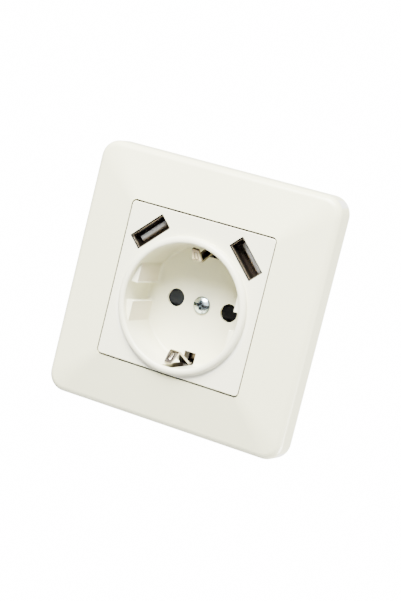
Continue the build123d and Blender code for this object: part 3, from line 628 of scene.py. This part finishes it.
def addSurface(name, points, slot, finish=None, smooth=True, loop=False):
    # points[i, j] is a grid whose columns close into rings; the end rings meet in a loop, or are capped
    rows, columns = points.shape[:2]
    index = np.arange(rows * columns).reshape(rows, columns)
    caps = [] if loop else [index[0, ::-1].tolist(), index[-1].tolist()]
    index = np.concatenate([index, index[:1]]) if loop else index
    beside = np.roll(index, -1, axis=1)
    quads = np.stack([index[:-1], beside[:-1], beside[1:], index[1:]], axis=-1).reshape(-1, 4)
    mesh = bpy.data.meshes.new(name)
    mesh.from_pydata(points.reshape(-1, 3).tolist(), [], quads.tolist() + caps)
    outward = bmesh.new()
    outward.from_mesh(mesh)
    bmesh.ops.recalc_face_normals(outward, faces=outward.faces)
    outward.to_mesh(mesh)
    outward.free()
    mesh.polygons.foreach_set("use_smooth", np.full(len(mesh.polygons), smooth))
    mesh.materials.append(materials[finish or camelWords(slot)])
    piece = bpy.data.objects.new(name, mesh)
    bpy.context.scene.collection.objects.link(piece)
    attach(piece, "socket")
    return piece


def carryProfile(path, side, up, profile):
    # point(i, j) = path(i) + profile(j).x * side(i) + profile(j).y * up(i)
    return path[:, None] + profile[None, :, :1] * side[:, None] + profile[None, :, 1:] * up[:, None]


def halfSteps(count):
    # angles round a circle, half a step off the axes, so that each has a clear sign
    return (np.arange(count) + 0.5) * 2 * np.pi / count


def circleProfile(radius, count):
    # radius * (cos a, sin a)
    angle = np.linspace(0, 2 * np.pi, count, endpoint=False)
    return radius * np.stack([np.cos(angle), np.sin(angle)], axis=1)


# Round wire of the shutter spring, its end turns closed up
springWire = {
    "turns": 7.0, "wire": 0.36 * mm, "closing": 0.75,
    "keep": 0.4655,  # share of its length that is left when the shutter is up
    "stepsPerTurn": 32, "around": 12,
}


def buildSpring(spec):
    # helix with z(u) = bottom + height * (u - closing * sin(2 pi u) / 2 pi), a circle carried along it
    low, high = (np.array(corner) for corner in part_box("shutter_spring"))
    middle = (low + high) / 2
    radius = (high[0] - low[0] - spec["wire"]) / 2
    u = np.linspace(0.0, 1.0, int(spec["turns"] * spec["stepsPerTurn"]) + 1)
    angle = 2 * np.pi * spec["turns"] * u
    climb = u - spec["closing"] * np.sin(2 * np.pi * u) / (2 * np.pi)
    side = np.stack([np.cos(angle), np.sin(angle), np.zeros_like(u)], axis=1)
    path = np.array([middle[0], middle[1], 0]) + radius * side
    path[:, 2] = low[2] + spec["wire"] / 2 + (high[2] - low[2] - spec["wire"]) * climb
    along = np.gradient(path, axis=0)
    up = np.cross(along, side)
    up /= np.linalg.norm(up, axis=1, keepdims=True)
    circle = circleProfile(spec["wire"] / 2, spec["around"])
    coil = addSurface("springCoil", carryProfile(path, side, up, circle), "spring_steel")
    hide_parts("shutter_spring")
    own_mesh(coil)


buildSpring(springWire)
print("spring wound")


# Raised bead pressed into the front leg of each earth clip
clipBead = {
    "halfSheet": 0.4 * mm, "halfLength": 1.5 * mm, "halfWidth": 0.5 * mm, "height": 0.17 * mm,
    "sink": 0.05 * mm, "crown": 0.46 * np.pi,  # the dome ends just short of a quarter turn, in a flat top
    "rings": 7, "around": 32,
}


def buildBeads(spec):
    # stadium rings that shrink as they rise: width * cos t, height * sin t, straight part unchanged
    leg = (clipApex - clipMouth) / np.linalg.norm(clipApex - clipMouth)
    normal = np.array([leg[1], -leg[0]])
    centre = clipMiddle + spec["halfSheet"] * normal
    around = halfSteps(spec["around"])
    t = np.concatenate([[0.0], np.linspace(0.0, spec["crown"], spec["rings"])])
    lift = spec["height"] * np.sin(t)
    lift[0] = -spec["sink"]
    straight = spec["halfLength"] - spec["halfWidth"]
    width = spec["halfWidth"] * np.cos(t)[:, None]
    along = np.sign(np.cos(around)) * straight + width * np.cos(around)
    across = width * np.sin(around)
    radius = centre[0] + along * leg[0] + lift[:, None] * normal[0]
    height = centre[1] + along * leg[1] + lift[:, None] * normal[1]
    for name, sign in (("clipBeadUpper", 1.0), ("clipBeadLower", -1.0)):
        points = np.stack([across, -height, wellRise + sign * radius], axis=-1)
        addSurface(name, points, "nickel_strip")


buildBeads(clipBead)
print("clips pressed")


# Bare edge of the folded shell just inside each port, in the port's own length and height
portLip = {
    "half": (6.1 * mm, 2.3 * mm), "corner": 0.4 * mm, "wall": 0.11 * mm, "depth": 1.2 * mm,
    "round": 0.03 * mm, "around": 48,
}


def buildLips(spec):
    # rounded rectangle: sign * (half - corner) + corner * (cos a, sin a), with a wall carried round it
    angle = halfSteps(spec["around"])
    turn = np.stack([np.cos(angle), np.sin(angle)], axis=1)
    outline = np.sign(turn) * (np.array(spec["half"]) - spec["corner"]) + spec["corner"] * turn
    wall, depth, edgeRound = spec["wall"], spec["depth"], spec["round"]
    profile = np.array([
        [0.0, -depth], [0.0, -edgeRound], [-edgeRound, 0.0],
        [edgeRound - wall, 0.0], [-wall, -edgeRound], [-wall, -depth],
    ])
    front = np.array([0.0, -1.0, 0.0])
    for name, sign in (("portLipLeft", -1.0), ("portLipRight", 1.0)):
        axes = np.array([[sign, 0.0, -1.0], [sign, 0.0, 1.0]]) * portSlant
        centre = np.array([sign * portOut, portLow[1], portRise])
        path = centre + outline @ axes
        points = carryProfile(path, turn @ axes, np.broadcast_to(front, path.shape), profile)
        addSurface(name, points, "shell_steel", "lipSteel", smooth=False, loop=True)


buildLips(portLip)
print("ports edged")


# Rounded edges of the guide ribs along the slot between them, in a lighter ivory that paints a highlight
# along them
guideEdge = {
    "front": 10.9 * mm, "floor": -4.0 * mm, "radius": 0.24 * mm, "inset": 0.13 * mm,
    "steps": 24, "around": 12,
}


def buildEdges(spec):
    # straight path along Y from the rib's front to the floor, set back into the rib, a circle along it
    height = np.linspace(spec["front"] - spec["radius"], spec["floor"], spec["steps"] + 1)
    circle = circleProfile(spec["radius"], spec["around"])
    side = np.broadcast_to([1.0, 0.0, 0.0], (len(height), 3))
    up = np.broadcast_to([0.0, 0.0, 1.0], (len(height), 3))
    for name, out, rise in (
        ("guideEdgeUpperLeft", -1, 1), ("guideEdgeLowerLeft", -1, -1),
        ("guideEdgeUpperRight", 1, 1), ("guideEdgeLowerRight", 1, -1),
    ):
        path = np.stack([
            np.full_like(height, out * (guideOut + spec["inset"])),
            -height,
            np.full_like(height, wellRise + rise * (guideRise + spec["inset"])),
        ], axis=1)
        addSurface(name, carryProfile(path, side, up, circle), "ivory_plastic", "edgeIvory")


buildEdges(guideEdge)
print("guides edged")


# Rolled thread of the two claw screws
clawThread = {
    "radius": 1.45 * mm, "height": 0.14 * mm, "pitch": 0.5 * mm, "start": 0.3 * mm, "endGap": 0.3 * mm,
    "flank": 0.45, "sink": 0.04 * mm,  # half the ridge as a share of the pitch, depth of its foot
    "fade": 0.05, "leastHeight": 0.02,  # share of the length at each end, share of the height left there
    "stepsPerTurn": 24,
}


def buildThreads(spec):
    # helix along Y with a triangle carried along it, whose height fades out at both ends
    low, high = (np.array(corner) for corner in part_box("claw_screws"))
    rise = (low[2] + high[2]) / 2
    headRadius = (high[2] - low[2]) / 2
    end = high[1] - spec["endGap"]
    turns = (end - spec["start"]) / spec["pitch"]
    u = np.linspace(0.0, 1.0, int(turns * spec["stepsPerTurn"]) + 1)
    angle = 2 * np.pi * turns * u
    side = np.stack([np.cos(angle), np.zeros_like(u), np.sin(angle)], axis=1)
    up = np.broadcast_to([0.0, 1.0, 0.0], side.shape)
    fade = np.clip(np.minimum(u, 1 - u) / spec["fade"], spec["leastHeight"], 1.0)
    half = spec["flank"] * spec["pitch"]
    profile = np.array([[-spec["sink"], -half], [spec["height"], 0.0], [-spec["sink"], half]])
    places = {"clawThreadLeft": low[0] + headRadius, "clawThreadRight": high[0] - headRadius}
    for name, place in places.items():
        path = np.array([place, 0.0, rise]) + spec["radius"] * side
        path[:, 1] = spec["start"] + (end - spec["start"]) * u
        points = carryProfile(path, side, up, profile)
        core = path[:, None] - spec["sink"] * side[:, None] + profile[None, :, 1:] * up[:, None]
        addSurface(name, core + (points - core) * fade[:, None, None], "zinc_steel", smooth=False)


buildThreads(clawThread)
print("claw screws threaded")
